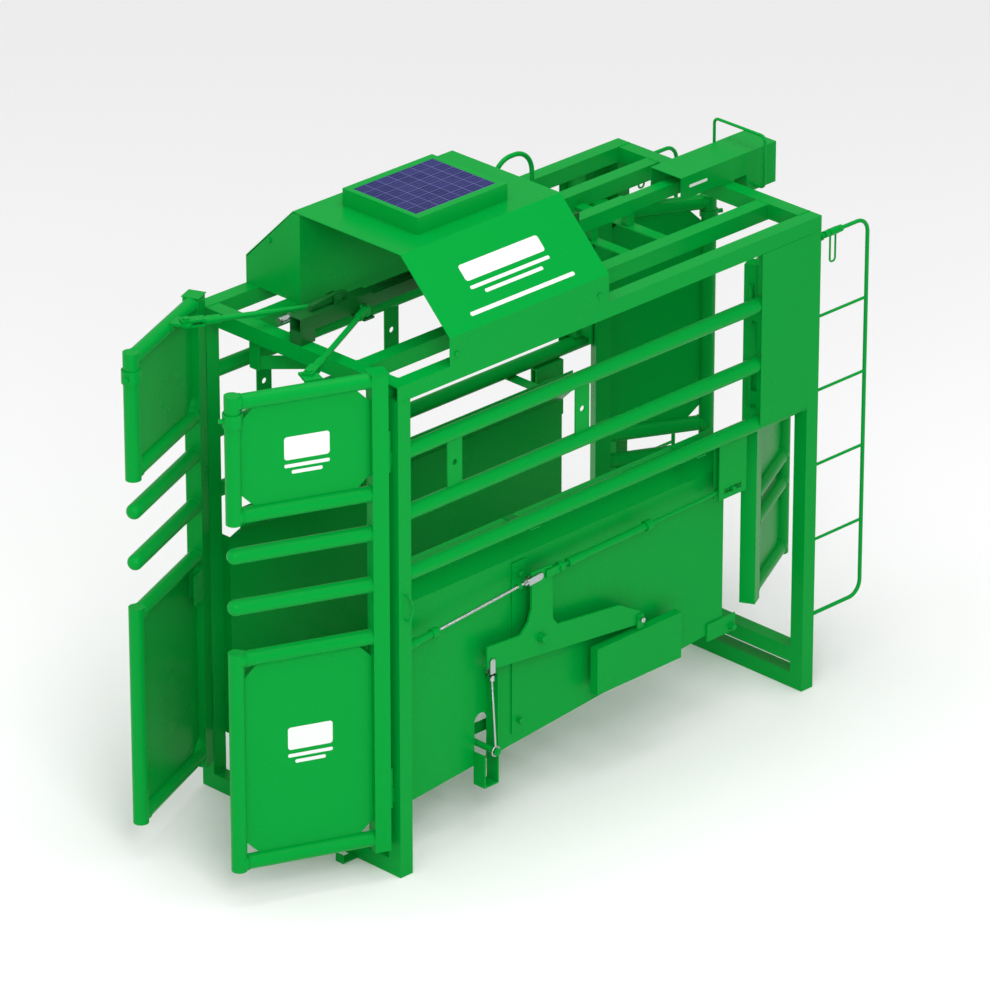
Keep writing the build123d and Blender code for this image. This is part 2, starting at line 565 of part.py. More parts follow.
COVER_WALL = 3.0
with BuildPart() as release_cover:
    with BuildSketch(Plane.YZ.offset(-COVER_X)) as cover_side:
        with BuildLine():
            Polyline((COVER_Y[0], COVER_LOW[1]), (COVER_STEP_Y, COVER_LOW[1]),
                     (COVER_STEP_Y, COVER_LOW[0]), (COVER_Y[1], COVER_LOW[0]),
                     (COVER_Y[1], COVER_TOP), (COVER_Y[0], COVER_TOP), close=True)
        make_face()
    extrude(cover_side.sketch, amount=2 * COVER_X)
    block((-COVER_X + COVER_WALL, COVER_X - COVER_WALL),
          (COVER_Y[0] - 1, COVER_Y[1] - COVER_WALL), (COVER_LOW[0] - 1, COVER_TOP - COVER_WALL),
          mode=Mode.SUBTRACT)
    block((-COVER_X, COVER_X), (COVER_STEP_Y, COVER_STEP_Y + COVER_WALL),
          (COVER_LOW[0], COVER_LOW[1]))
    for x in (-COVER_X, COVER_X):
        rod((x - 5, BAIL_Y, BAIL_Z), (x + 5, BAIL_Y, BAIL_Z), BAIL_R + FIT, mode=Mode.SUBTRACT)
    for x in (-COVER_X, COVER_X - 40):
        block((x, x + 40), (INNER_Y, HALF_L), (FRAME_HEIGHT, COVER_LOW[1]))
save(release_cover.part, "release_cover")

with BuildPart() as release_bail:
    bent_rod([(-COVER_X + 12, BAIL_Y, BAIL_Z), (-BAIL_X, BAIL_Y, BAIL_Z), (-BAIL_X, BAIL_Y, BAIL_TOP),
              (BAIL_X, BAIL_Y, BAIL_TOP), (BAIL_X, BAIL_Y, BAIL_Z), (COVER_X - 12, BAIL_Y, BAIL_Z)],
             BAIL_R, 22)
save(release_bail.part, "release_bail")

# ---- hood, its compartment, the solar box and the controls
HOOD_SHELL = [(HALF_W, FRAME_HEIGHT), (HALF_W, HOOD_SIDE_Z), (HOOD_TOP_X, HOOD_TOP_Z)]
with BuildPart() as hood_shell:
    outer = HOOD_SHELL + [(-x, z) for x, z in reversed(HOOD_SHELL)]
    plate(Plane.XZ.offset(-HOOD_Y[0]), outer, -(HOOD_Y[1] - HOOD_Y[0]))
    inner = [(HALF_W - SHEET, FRAME_HEIGHT - 5), (HALF_W - SHEET, HOOD_SIDE_Z - 1.3),
             (HOOD_TOP_X - 1.3, HOOD_TOP_Z - SHEET)]
    inner = inner + [(-x, z) for x, z in reversed(inner)]
    plate(Plane.XZ.offset(-HOOD_Y[0] + 1), inner, -(HOOD_Y[1] - HOOD_Y[0] + 2),
          mode=Mode.SUBTRACT)
save(hood_shell.part, "hood_shell")

BOLT_Y = (HOOD_Y[0] + 34, HOOD_Y[1] - 50)
BOLT_Z = FRAME_HEIGHT + 41.0
with BuildPart() as hood_fixings:
    for name, side in SIDES:
        for y in BOLT_Y:
            x = HALF_W - SHEET
            block((side * (x - 5), side * x), (y - 25, y + 25), (FRAME_HEIGHT, FRAME_HEIGHT + 70))
            block((side * (x - 45), side * x), (y - 25, y + 25), (FRAME_HEIGHT, FRAME_HEIGHT + 5))
    for name, side in SIDES:
        for y in BOLT_Y:
            with BuildSketch(Plane(origin=(side * HALF_W, y, BOLT_Z), z_dir=(side, 0, 0))) as head:
                RegularPolygon(9, 6)
            extrude(head.sketch, amount=6)
save(hood_fixings.part, "hood_fixings")

with BuildPart() as control_compartment:
    x = -HALF_W + SHEET + GAP
    front = [(x, FRAME_HEIGHT), (-COMPARTMENT_X, FRAME_HEIGHT), (-COMPARTMENT_X, HOOD_TOP_Z - 4),
             (-HOOD_TOP_X - 2, HOOD_TOP_Z - 8), (x, HOOD_SIDE_Z - 6)]
    plate(Plane.XZ.offset(-HOOD_Y[0] - 1), front, -SHEET)
    block((-COMPARTMENT_X - SHEET, -COMPARTMENT_X), (HOOD_Y[0] + 1, HOOD_Y[1] - 8),
          (FRAME_HEIGHT, HOOD_TOP_Z - 4))
save(control_compartment.part, "control_compartment")

with BuildPart() as solar_box:
    block((-SOLAR_X, SOLAR_X), SOLAR_Y, (HOOD_TOP_Z, HOOD_TOP_Z + SOLAR_H))
    block((-PV_X, PV_X), PV_Y, (HOOD_TOP_Z + SOLAR_H - PV_DEEP, HOOD_TOP_Z + SOLAR_H + 1),
          mode=Mode.SUBTRACT)
    block((-SOLAR_X + SHEET, SOLAR_X - SHEET), (SOLAR_Y[0] + SHEET, SOLAR_Y[1] - SHEET),
          (HOOD_TOP_Z - 1, HOOD_TOP_Z + SOLAR_H - PV_DEEP - SHEET), mode=Mode.SUBTRACT)
save(solar_box.part, "solar_box")

with BuildPart() as solar_panel:
    block((-PV_X + 1, PV_X - 1), (PV_Y[0] + 1, PV_Y[1] - 1),
          (HOOD_TOP_Z + SOLAR_H - PV_DEEP, HOOD_TOP_Z + SOLAR_H - 1))
save(solar_panel.part, "solar_panel")

with BuildPart() as control_box:
    block((60, 180), (-700, -560), (HOOD_TOP_Z - SHEET - 90, HOOD_TOP_Z - SHEET))
save(control_box.part, "control_box")

# bent handle rod that stands on the far inner top rail, half under the hood
with BuildPart() as rail_arch:
    bent_rod([(-INNER_RAIL_X, 190, FRAME_HEIGHT), (-INNER_RAIL_X, 190, 2262),
              (-INNER_RAIL_X, 400, 2262), (-INNER_RAIL_X, 400, FRAME_HEIGHT)], 9.5, 95)
save(rail_arch.part, "rail_arch")

# ---- floor, its axle and the weight linkage on each side
with BuildPart() as floor_tread:
    top = AXLE_Z + AXLE_R + GAP + FLOOR_BEAM
    rear = FLOOR_PIVOT_Y + 24
    for name, side in SIDES:
        block((side * (FLOOR_HALF - 8), side * FLOOR_HALF), (FLOOR_FRONT, rear),
              (top - FLOOR_BEAM, top))
    for step in range(TREAD_COUNT):
        y = TREAD_FRONT + step * TREAD_PITCH
        block((-FLOOR_HALF, FLOOR_HALF), (y, y + 38), (top, top + 5))
        block((-FLOOR_HALF, FLOOR_HALF), (y, y + 5), (top, top + 25))
    for name, side in SIDES:
        rod((side * (FLOOR_HALF - 20), FLOOR_PIVOT_Y, FLOOR_PIVOT_Z),
            (side * FLOOR_HALF, FLOOR_PIVOT_Y, FLOOR_PIVOT_Z), 20)
        rod((side * (FLOOR_HALF - 21), FLOOR_PIVOT_Y, FLOOR_PIVOT_Z),
            (side * (FLOOR_HALF + 1), FLOOR_PIVOT_Y, FLOOR_PIVOT_Z), 10 + FIT, mode=Mode.SUBTRACT)
save(floor_tread.part, "floor_tread")

LINK_X = CRANK_X + CRANK_T / 2
with BuildPart() as floor_axle:
    rod((-EYE_X + 14, AXLE_Y, AXLE_Z), (EYE_X - 14, AXLE_Y, AXLE_Z), AXLE_R)
    for name, side in SIDES:
        rod((side * (EYE_X - 16), AXLE_Y, AXLE_Z), (side * (EYE_X + 18), AXLE_Y, AXLE_Z),
            AXLE_END_R)
        rod((side * (EYE_X + 9), AXLE_Y, AXLE_Z), (side * (EYE_X + 13), AXLE_Y, AXLE_Z), 16)
        block((side * (FLOOR_HALF - 8), side * (FLOOR_HALF)), (AXLE_Y - 22, AXLE_Y + 22),
              (AXLE_Z - 20, AXLE_Z + AXLE_R + GAP))
save(floor_axle.part, "floor_axle")

CRANK = [(-630, 684), (-630, 774), (-452, 762), (-412, 800), (-394, 850), (-394, 1003),
         (-284, 1003), (-280, 775), (-255, 742), (80, 704), (196, 640), (213, 622), (180, 588),
         (-560, 668)]
with BuildPart() as linkage_pivots:
    for name, side in SIDES:
        block((side * SHEET_X, side * (SHEET_X + 8)), (SHEET_REAR - 90, FLOOR_PIVOT_Y + 22),
              (FLOOR_PIVOT_Z - 22, SHEET_LOW_REAR + 40))
        rod((side * (FLOOR_HALF - 16), FLOOR_PIVOT_Y, FLOOR_PIVOT_Z),
            (side * (SHEET_X + 16), FLOOR_PIVOT_Y, FLOOR_PIVOT_Z), 10)
        rod((side * (SHEET_X + 8), FLOOR_PIVOT_Y, FLOOR_PIVOT_Z),
            (side * (SHEET_X + 18), FLOOR_PIVOT_Y, FLOOR_PIVOT_Z), 16)

    for name, side in SIDES:
        rod((side * SHEET_X, PIVOT_Y, PIVOT_Z), (side * CRANK_X, PIVOT_Y, PIVOT_Z), 22)
        rod((side * (CRANK_X - 5), PIVOT_Y, PIVOT_Z),
            (side * (CRANK_X + CRANK_T + 12), PIVOT_Y, PIVOT_Z), PIVOT_R)
        rod((side * (CRANK_X + CRANK_T + GAP), PIVOT_Y, PIVOT_Z),
            (side * (CRANK_X + CRANK_T + 12), PIVOT_Y, PIVOT_Z), 19)
save(linkage_pivots.part, "linkage_pivots")

for name, side in SIDES:
    inner, outer = side * CRANK_X, side * (CRANK_X + CRANK_T)
    with BuildPart() as bell_crank:
        plate(Plane.YZ.offset(min(inner, outer)), CRANK, CRANK_T)
        rod((side * (CRANK_X - 1), PIVOT_Y, PIVOT_Z), (side * (CRANK_X + CRANK_T + 1), PIVOT_Y,
                                                       PIVOT_Z), PIVOT_R + FIT, mode=Mode.SUBTRACT)
        for y, z in (FRONT_PIN, REAR_PIN):
            rod((side * (CRANK_X - 1), y, z), (side * (CRANK_X + CRANK_T + 1), y, z),
                PIN_R + LOOSE, mode=Mode.SUBTRACT)
        rod((side * (CRANK_X - 1), *LINK_PIN), (side * (CRANK_X + CRANK_T + 1), *LINK_PIN),
            PIN_R + FIT, mode=Mode.SUBTRACT)
        rod((side * (CRANK_X - 1), *WEIGHT_BOLT), (side * (CRANK_X + CRANK_T + 1), *WEIGHT_BOLT),
            PIN_R + GAP, mode=Mode.SUBTRACT)
    save(bell_crank.part, f"bell_crank_{name}")

    with BuildPart() as counterweight:
        face = CRANK_X + CRANK_T + 16
        block((side * (face - WEIGHT_T), side * face), WEIGHT_Y, WEIGHT_Z)
        block((side * (CRANK_X + CRANK_T), side * (CRANK_X + CRANK_T + 8)),
              (WEIGHT_BOLT[0] - 17, WEIGHT_BOLT[0] + 17), (WEIGHT_Z[1] - 4, WEIGHT_BOLT[1] + 18))
        rod((side * (CRANK_X - 6), *WEIGHT_BOLT), (side * (CRANK_X + CRANK_T + 16), *WEIGHT_BOLT),
            PIN_R)
        rod((side * (CRANK_X - 10), *WEIGHT_BOLT), (side * CRANK_X, *WEIGHT_BOLT), 13)
    save(counterweight.part, f"counterweight_{name}")

    # threaded eye link from the crank to the end of the axle
    top = Vector(side * LINK_X, *LINK_PIN)
    eye = Vector(side * EYE_X, AXLE_Y, AXLE_Z)
    unit = (eye - top).normalized()
    with BuildPart() as eye_link:
        for x in (LINK_X - CRANK_T / 2 - 8, LINK_X + CRANK_T / 2 + 0.5):
            with BuildSketch(Plane.YZ.offset(min(side * x, side * (x + 7.5)))) as fork:
                with BuildLine():
                    Polyline((LINK_PIN[0] - 13, LINK_PIN[1] + 14), (LINK_PIN[0] + 13, LINK_PIN[1] + 14),
                             (LINK_PIN[0] + 17, LINK_PIN[1] - 58), (LINK_PIN[0] - 9,
                                                                    LINK_PIN[1] - 58), close=True)
                make_face()
            extrude(fork.sketch, amount=7.5)
        rod(top + unit * 46, top + unit * 70, 12.5)
        rod(top + unit * 60, eye - unit * 15, 5)
        rod(eye - Vector(6, 0, 0), eye + Vector(6, 0, 0), 19, AXLE_END_R + 5)
        rod(top - Vector(13.5, 0, 0), top + Vector(13.5, 0, 0), PIN_R)
    save(eye_link.part, f"eye_link_{name}")

    # front pull rod: fork, threaded rod, sleeve and pipe into the front post
    pin = Vector(side * LINK_X, *FRONT_PIN)
    tip = Vector(side * LINK_X, *FRONT_ROD_END)
    unit = (tip - pin).normalized()
    reach = (tip - pin).length
    with BuildPart() as front_rod:
        for x in (LINK_X - CRANK_T / 2 - 8, LINK_X + CRANK_T / 2 + 0.5):
            points = [pin + unit * s + Vector(0, 0, z) for s, z in ((-14, -15), (-14, 15), (58, 15),
                                                                   (58, -15))]
            plate(Plane.YZ.offset(min(side * x, side * (x + 7.5))),
                  [(spot.Y, spot.Z) for spot in points], 7.5)
        rod(pin + unit * 46, pin + unit * 72, 12.5)
        rod(pin + unit * 60, pin + unit * (reach * 0.8), 6)
        rod(pin + unit * (reach * 0.785), pin + unit * (reach * 0.84), 19)
        rod(pin + unit * (reach * 0.82), tip, 13.5)
        rod(pin - Vector(13.5, 0, 0), pin + Vector(13.5, 0, 0), PIN_R)
    save(front_rod.part, f"front_rod_{name}")

    # rear pull rod: fork, coupling, pipe, nut, thin rod and the rear eye
    pin = Vector(side * LINK_X, *REAR_PIN)
    tip = Vector(side * LINK_X, *REAR_ROD_END)
    unit = (tip - pin).normalized()
    reach = (tip - pin).length
    with BuildPart() as rear_rod:
        for x in (LINK_X - CRANK_T / 2 - 8, LINK_X + CRANK_T / 2 + 0.5):
            points = [pin + unit * s + Vector(0, 0, z) for s, z in ((-14, -15), (-14, 15), (64, 15),
                                                                   (64, -15))]
            plate(Plane.YZ.offset(min(side * x, side * (x + 7.5))),
                  [(spot.Y, spot.Z) for spot in points], 7.5)
        rod(pin + unit * 56, pin + unit * 78, 20)
        rod(pin + unit * 60, pin + unit * 150, 8)
        rod(pin + unit * 110, pin + unit * 190, 17)
        rod(pin + unit * 180, pin + unit * (reach * 0.54), 14)
        rod(pin + unit * (reach * 0.53), pin + unit * (reach * 0.56), 21)
        rod(pin + unit * (reach * 0.55), tip - unit * 10, 7)
        rod(tip - Vector(6, 0, 0), tip + Vector(6, 0, 0), 20)
        rod(tip - Vector(26, 0, 0), tip + Vector(26, 0, 0), PIN_R)
        rod(pin - Vector(13.5, 0, 0), pin + Vector(13.5, 0, 0), PIN_R)
    save(rear_rod.part, f"rear_rod_{name}")

# guide tubes on the posts for the front rods
with BuildPart() as rod_guides:
    for name, side in SIDES:
        pin = Vector(side * LINK_X, *FRONT_PIN)
        tip = Vector(side * LINK_X, *FRONT_ROD_END)
        unit = (tip - pin).normalized()
        rod(tip - unit * 36, tip + unit * 60, GUIDE_BORE + 3.5, GUIDE_BORE)
        block((side * (LINK_X - 24), side * (LINK_X + 24)), (-INNER_Y - 60, -INNER_Y + SHEET),
              (FRONT_ROD_END[1] - 60, FRONT_ROD_END[1] + 60), mode=Mode.SUBTRACT)
save(rod_guides.part, "rod_guides")

# slotted plates that the rear rods trip, hung from the third pipe
with BuildPart() as tail_latch_plates:
    travel = 48.0
    for name, side in SIDES:
        for x in (LINK_X - 16, LINK_X + 10):
            near_x, far_x = side * x, side * (x + 6)
            block((near_x, far_x), (REAR_ROD_END[0] - 75, REAR_ROD_END[0] + 75),
                  (REAR_ROD_END[1] - 32, SIDE_RAIL_Z[0] - PIPE_R - GAP))
            block((side * (x - 1), side * (x + 7)), (REAR_ROD_END[0] - travel, REAR_ROD_END[0] + travel),
                  (REAR_ROD_END[1] - PIN_R - 3, REAR_ROD_END[1] + PIN_R + 3), mode=Mode.SUBTRACT)
        top = SIDE_RAIL_Z[0] - PIPE_R - GAP
        block((side * (LINK_X - 16), side * (LINK_X + 16)),
              (REAR_ROD_END[0] - 75, REAR_ROD_END[0] + 75), (top - 6, top))
save(tail_latch_plates.part, "tail_latch_plates")

# ---- tail gate: two doors on short uprights behind the rear side sheets
with BuildPart() as tail_uprights:
    for name, side in SIDES:
        gate = leaf(side, TAIL_STILE, TAIL_ANGLE, 1)
        pin_x, pin_y, base = at(gate, -HINGE_OFFSET, 0, 0)
        foot = SIDE_RAIL_Z[0] + PIPE_R + GAP
        edge = POST_X - TAIL_POST / 2
        tube(Plane.XY.move(Location((side * POST_X, pin_y, SIDE_RAIL_Z[2] + PIPE_R + GAP))),
             TAIL_POST, 4, RAIL_LOW - SIDE_RAIL_Z[2] - PIPE_R - GAP)
        for low, high in ((SIDE_RAIL_Z[0], SIDE_RAIL_Z[1]), (SIDE_RAIL_Z[1], SIDE_RAIL_Z[2])):
            tube(Plane.XY.move(Location((side * POST_X, pin_y, low + PIPE_R + GAP))), TAIL_POST, 4,
                 high - low - 2 * PIPE_R - 2 * GAP)
    for name, side in SIDES:
        gate = leaf(side, TAIL_STILE, TAIL_ANGLE, 1)
        for z in TAIL_HINGE_Z:
            pin_x, pin_y, base = at(gate, -HINGE_OFFSET, 0, z)
            rod((pin_x, pin_y, z - BARREL_H), (pin_x, pin_y, z), BARREL_R)
            rod((pin_x, pin_y, z - 1), (pin_x, pin_y, z + BARREL_H - 4), HINGE_PIN_R)
            block((pin_x, side * (POST_X - TAIL_POST / 2)), (pin_y - 5, pin_y + 5),
                  (z - BARREL_H * 0.75, z - 6))
save(tail_uprights.part, "tail_uprights")

for name, side in SIDES:
    gate = leaf(side, TAIL_STILE, TAIL_ANGLE, 1)
    bore = PIPE_R - PIPE_WALL
    with BuildPart() as tail_frame:
        with BuildSketch(Plane(origin=at(gate, 0, 0, TAIL_Z[0]), x_dir=gate[1],
                               z_dir=(0, 0, 1))) as stile:
            Rectangle(TUBE, TUBE)
        extrude(stile.sketch, amount=TAIL_Z[1] - TAIL_Z[0])
        pipe_edge(gate, TAIL_REACH, TAIL_BARS[0], TAIL_BARS[3], PIPE_R)
        for z in TAIL_BARS[1:3]:
            rod(at(gate, 0, 0, z), at(gate, TAIL_REACH, 0, z), PIPE_R)
        with BuildSketch(Plane(origin=at(gate, 0, 0, TAIL_Z[0] - 1), x_dir=gate[1],
                               z_dir=(0, 0, 1))) as hollow:
            Rectangle(TUBE - 2 * TUBE_WALL, TUBE - 2 * TUBE_WALL)
        extrude(hollow.sketch, amount=TAIL_Z[1] - TAIL_Z[0] - TUBE_WALL, mode=Mode.SUBTRACT)
        hollow_edge(gate, TAIL_REACH, TAIL_BARS[0], TAIL_BARS[3], bore, TUBE / 2 + 3)
        for z in TAIL_BARS[1:3]:
            rod(at(gate, TUBE / 2 + 3, 0, z), at(gate, TAIL_REACH - TUBE / 2 - 3, 0, z), bore,
                mode=Mode.SUBTRACT)
        for z in TAIL_HINGE_Z:
            spot = -HINGE_OFFSET
            rod(at(gate, spot, 0, z + HEAD_BARREL_GAP), at(gate, spot, 0, z + BARREL_H), BARREL_R)
            with BuildSketch(leaf_plane(gate)) as strap:
                with Locations((-(TUBE / 2 + HINGE_OFFSET) / 2, z + BARREL_H / 2)):
                    Rectangle(HINGE_OFFSET - TUBE / 2, BARREL_H * 0.75)
            extrude(strap.sketch, amount=4, both=True)
            rod(at(gate, spot, 0, z - 1), at(gate, spot, 0, z + BARREL_H + 1), HINGE_PIN_R + FIT,
                mode=Mode.SUBTRACT)
    save(tail_frame.part, f"tail_door_frame_{name}")

    with BuildPart() as tail_panels:
        inset = PIPE_R + 2 * GAP
        for low, high in ((TAIL_BARS[2], TAIL_BARS[3]), (TAIL_BARS[0], TAIL_BARS[1])):
            plate(leaf_plane(gate), cut_corners(TUBE / 2 + FIT, TAIL_REACH - inset, low + inset,
                                                high - inset, PANEL_CUT), PANEL_T / 2, both=True)
        rod(at(gate, TAIL_REACH, 0, TAIL_BARS[3] - 60), at(gate, TAIL_REACH, 0, TAIL_BARS[3] - 34),
            PIPE_R + 7, PIPE_R + 2 * GAP)
        rod(at(gate, TAIL_REACH + PIPE_R + 5, 0, TAIL_BARS[3] - 47),
            at(gate, TAIL_REACH + PIPE_R + 26, 0, TAIL_BARS[3] - 47), 9)
    save(tail_panels.part, f"tail_door_panels_{name}")

# ---- rear ladder frames, the sleeves on their top rods and the hanging wire loops
with BuildPart() as rear_ladders:
    for name, side in SIDES:
        x = side * POST_X
        bend_start = LADDER_Y - LADDER_BEND - 10
        bent_rod([(x, bend_start + GAP, LADDER_Z[1]), (x, LADDER_Y, LADDER_Z[1]),
                  (x, LADDER_Y, LADDER_Z[0]), (x, bend_start + GAP, LADDER_Z[0])], LADDER_R,
                 LADDER_BEND)
        for z in LADDER_Z:
            rod((x, HALF_L, z), (x, bend_start, z), LADDER_R)
        for z in LADDER_RUNGS:
            rod((x, HALF_L, z), (x, LADDER_Y - LADDER_R - GAP, z), RUNG_R)
    for name, side in SIDES:
        x = side * POST_X
        for start, end, radius in ((HALF_L + 22, HALF_L + 34, 18), (LOOP_Y - 34, LOOP_Y - 10, 14),
                                   (LOOP_Y + 40, LOOP_Y + 62, 14)):
            rod((x, start, LADDER_Z[1]), (x, end, LADDER_Z[1]), radius, LADDER_R + FIT)
save(rear_ladders.part, "rear_ladders")

for name, side in SIDES:
    x = side * POST_X
    with BuildPart() as wire_loop:
        rod((x, LOOP_Y - 8, LADDER_Z[1]), (x, LOOP_Y + 38, LADDER_Z[1]), 15, LADDER_R + FIT)
        bent_rod([(x, LOOP_Y, LADDER_Z[1] - 12), (x, LOOP_Y, LADDER_Z[1] - 125),
                  (x, LOOP_Y + 30, LADDER_Z[1] - 125), (x, LOOP_Y + 30, LADDER_Z[1] - 12)],
                 LOOP_R, 13)
    save(wire_loop.part, f"wire_loop_{name}")

# small bent rod hooks on the front posts
with BuildPart() as post_hooks:
    for name, side in SIDES:
        x = side * HALF_W
        bent_rod([(x, -POST_Y, 1168), (x + side * 24, -POST_Y, 1168), (x + side * 24, -POST_Y + 18, 1116),
                  (x + side * 24, -POST_Y, 1068), (x, -POST_Y, 1068)], 4, 10)
save(post_hooks.part, "post_hooks")
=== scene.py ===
import math

import bmesh
import bpy
import numpy as np
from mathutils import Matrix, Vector


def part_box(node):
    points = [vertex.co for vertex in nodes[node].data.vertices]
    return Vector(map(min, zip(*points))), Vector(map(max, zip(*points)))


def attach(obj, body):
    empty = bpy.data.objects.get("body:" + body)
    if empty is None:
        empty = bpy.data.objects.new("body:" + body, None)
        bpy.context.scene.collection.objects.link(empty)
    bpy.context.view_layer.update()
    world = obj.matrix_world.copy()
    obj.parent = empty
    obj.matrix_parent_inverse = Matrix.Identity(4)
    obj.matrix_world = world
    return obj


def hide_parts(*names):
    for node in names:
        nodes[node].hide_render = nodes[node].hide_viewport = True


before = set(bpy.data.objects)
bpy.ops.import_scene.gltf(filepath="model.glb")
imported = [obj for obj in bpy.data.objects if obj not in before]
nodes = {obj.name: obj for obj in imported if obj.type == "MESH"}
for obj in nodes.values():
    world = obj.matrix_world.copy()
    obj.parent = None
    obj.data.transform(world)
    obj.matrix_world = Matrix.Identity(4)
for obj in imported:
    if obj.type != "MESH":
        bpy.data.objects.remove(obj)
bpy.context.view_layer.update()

# ---- Painted steelwork
# The whole chute is welded from square tube, pipe and folded sheet, and is then sprayed in
# one bright green powder coat. The coat has a fine orange peel and a slight change of shade.


def sprayed_coat_group():
    """Node group: cloudy shade change and orange-peel bump of a sprayed coat."""
    group = bpy.data.node_groups.new("sprayed_coat", "ShaderNodeTree")
    group.interface.new_socket("Colour", in_out="INPUT", socket_type="NodeSocketColor")
    for label in ("Shade change", "Peel", "Gloss"):
        group.interface.new_socket(label, in_out="INPUT", socket_type="NodeSocketFloat")
    group.interface.new_socket("Colour", in_out="OUTPUT", socket_type="NodeSocketColor")
    group.interface.new_socket("Roughness", in_out="OUTPUT", socket_type="NodeSocketFloat")
    group.interface.new_socket("Normal", in_out="OUTPUT", socket_type="NodeSocketVector")
    add, link = group.nodes.new, group.links.new
    inside, outside = add("NodeGroupInput"), add("NodeGroupOutput")
    place = add("ShaderNodeTexCoord")
    cloud = add("ShaderNodeTexNoise")
    cloud.inputs["Scale"].default_value = 4.0
    cloud.inputs["Detail"].default_value = 5.0
    peel = add("ShaderNodeTexNoise")
    peel.inputs["Scale"].default_value = 420.0
    peel.inputs["Detail"].default_value = 2.0
    swing = add("ShaderNodeMapRange")
    swing.inputs["From Min"].default_value = 0.3
    swing.inputs["From Max"].default_value = 0.7
    swing.inputs["To Min"].default_value = 1.0
    shade = add("ShaderNodeMix")
    shade.data_type = "RGBA"
    shade.blend_type = "MULTIPLY"
    shade.inputs["B"].default_value = (0.72, 0.86, 0.78, 1.0)
    bump = add("ShaderNodeBump")
    bump.inputs["Distance"].default_value = 0.0006
    weight = add("ShaderNodeMath")
    weight.operation = "MULTIPLY"
    rough = add("ShaderNodeMath")
    rough.operation = "MULTIPLY_ADD"
    link(place.outputs["Object"], cloud.inputs["Vector"])
    link(place.outputs["Object"], peel.inputs["Vector"])
    link(cloud.outputs["Fac"], swing.inputs["Value"])
    link(swing.outputs["Result"], weight.inputs[0])
    link(inside.outputs["Shade change"], weight.inputs[1])
    link(weight.outputs["Value"], shade.inputs["Factor"])
    link(inside.outputs["Colour"], shade.inputs["A"])
    link(shade.outputs["Result"], outside.inputs["Colour"])
    link(cloud.outputs["Fac"], rough.inputs[0])
    rough.inputs[1].default_value = 0.14
    link(inside.outputs["Gloss"], rough.inputs[2])
    link(rough.outputs["Value"], outside.inputs["Roughness"])
    link(inside.outputs["Peel"], bump.inputs["Strength"])
    link(peel.outputs["Fac"], bump.inputs["Height"])
    link(bump.outputs["Normal"], outside.inputs["Normal"])
    return group


SPRAYED = sprayed_coat_group()


def coated(name, colour, change, peel, gloss, metallic=0.0, coat=0.0):
    """Material whose colour, roughness and bump come from the sprayed coat group."""
    material = bpy.data.materials.new(name)
    material.use_nodes = True
    tree = material.node_tree
    shader = tree.nodes["Principled BSDF"]
    spray = tree.nodes.new("ShaderNodeGroup")
    spray.node_tree = SPRAYED
    spray.inputs["Colour"].default_value = (*colour, 1.0)
    spray.inputs["Shade change"].default_value = change
    spray.inputs["Peel"].default_value = peel
    spray.inputs["Gloss"].default_value = gloss
    tree.links.new(spray.outputs["Colour"], shader.inputs["Base Color"])
    tree.links.new(spray.outputs["Roughness"], shader.inputs["Roughness"])
    tree.links.new(spray.outputs["Normal"], shader.inputs["Normal"])
    shader.inputs["Metallic"].default_value = metallic
    shader.inputs["Coat Weight"].default_value = coat
    shader.inputs["Coat Roughness"].default_value = 0.12
    return material


green = coated("green_powder_coat", (0.0, 0.325, 0.040), 0.34, 0.12, 0.22)
green.node_tree.nodes["Principled BSDF"].inputs["Specular IOR Level"].default_value = 0.06
steel = coated("zinc_plated_steel", (0.52, 0.53, 0.54), 0.5, 0.1, 0.22, metallic=1.0)
black = coated("black_moulding", (0.012, 0.012, 0.013), 0.3, 0.35, 0.42)


def finish_node(node, material):
    """Puts one material on every slot of a CAD node."""
    mesh = nodes[node].data
    mesh.materials.clear()
    mesh.materials.append(material)


for node in nodes:
    finish_node(node, green)
finish_node("control_box", black)

# ---- Head gate slide
# The slide, its housing and its hold lever sit under the hood. Their coat is painted darker than
# the sprayed frame's as painted shade of the hood over them, and is made duller.
# Darker green colour here is painted shade from the hood above.
hood_shaded_coat = coated("hood_shaded_green_coat", (0.0, 0.115, 0.014), 0.55, 0.20, 0.34)
for node in ("slide_housing", "head_slide_bar", "hold_lever"):
    finish_node(node, hood_shaded_coat)

# ---- Solar panel
# Glass-fronted module let into the top of the solar box. Square blue-violet cells stand in
# a grid, with thin silver busbars across them and a pale gap between cells.
CELL = 0.0555
BUSBAR = 0.0185
cells = bpy.data.materials.new("solar_cells")
cells.use_nodes = True
tree = cells.node_tree
shader = tree.nodes["Principled BSDF"]
place = tree.nodes.new("ShaderNodeTexCoord")
shift = tree.nodes.new("ShaderNodeMapping")
shift.inputs["Location"].default_value = (0.167, 0.667, 0.0)
gaps = tree.nodes.new("ShaderNodeTexBrick")
gaps.offset = 0.0
gaps.inputs["Scale"].default_value = 1.0
gaps.inputs["Brick Width"].default_value = CELL
gaps.inputs["Row Height"].default_value = CELL * 1.062
gaps.inputs["Mortar Size"].default_value = 0.0011
gaps.inputs["Mortar Smooth"].default_value = 0.1
gaps.inputs["Color1"].default_value = (0.016, 0.019, 0.105, 1.0)
gaps.inputs["Color2"].default_value = (0.026, 0.030, 0.140, 1.0)
gaps.inputs["Mortar"].default_value = (0.15, 0.16, 0.34, 1.0)
bars = tree.nodes.new("ShaderNodeTexBrick")
bars.offset = 0.0
bars.inputs["Scale"].default_value = 1.0
bars.inputs["Brick Width"].default_value = BUSBAR
bars.inputs["Row Height"].default_value = 2.0
bars.inputs["Mortar Size"].default_value = 0.0004
bars.inputs["Color1"].default_value = (0.0, 0.0, 0.0, 1.0)
bars.inputs["Color2"].default_value = (0.0, 0.0, 0.0, 1.0)
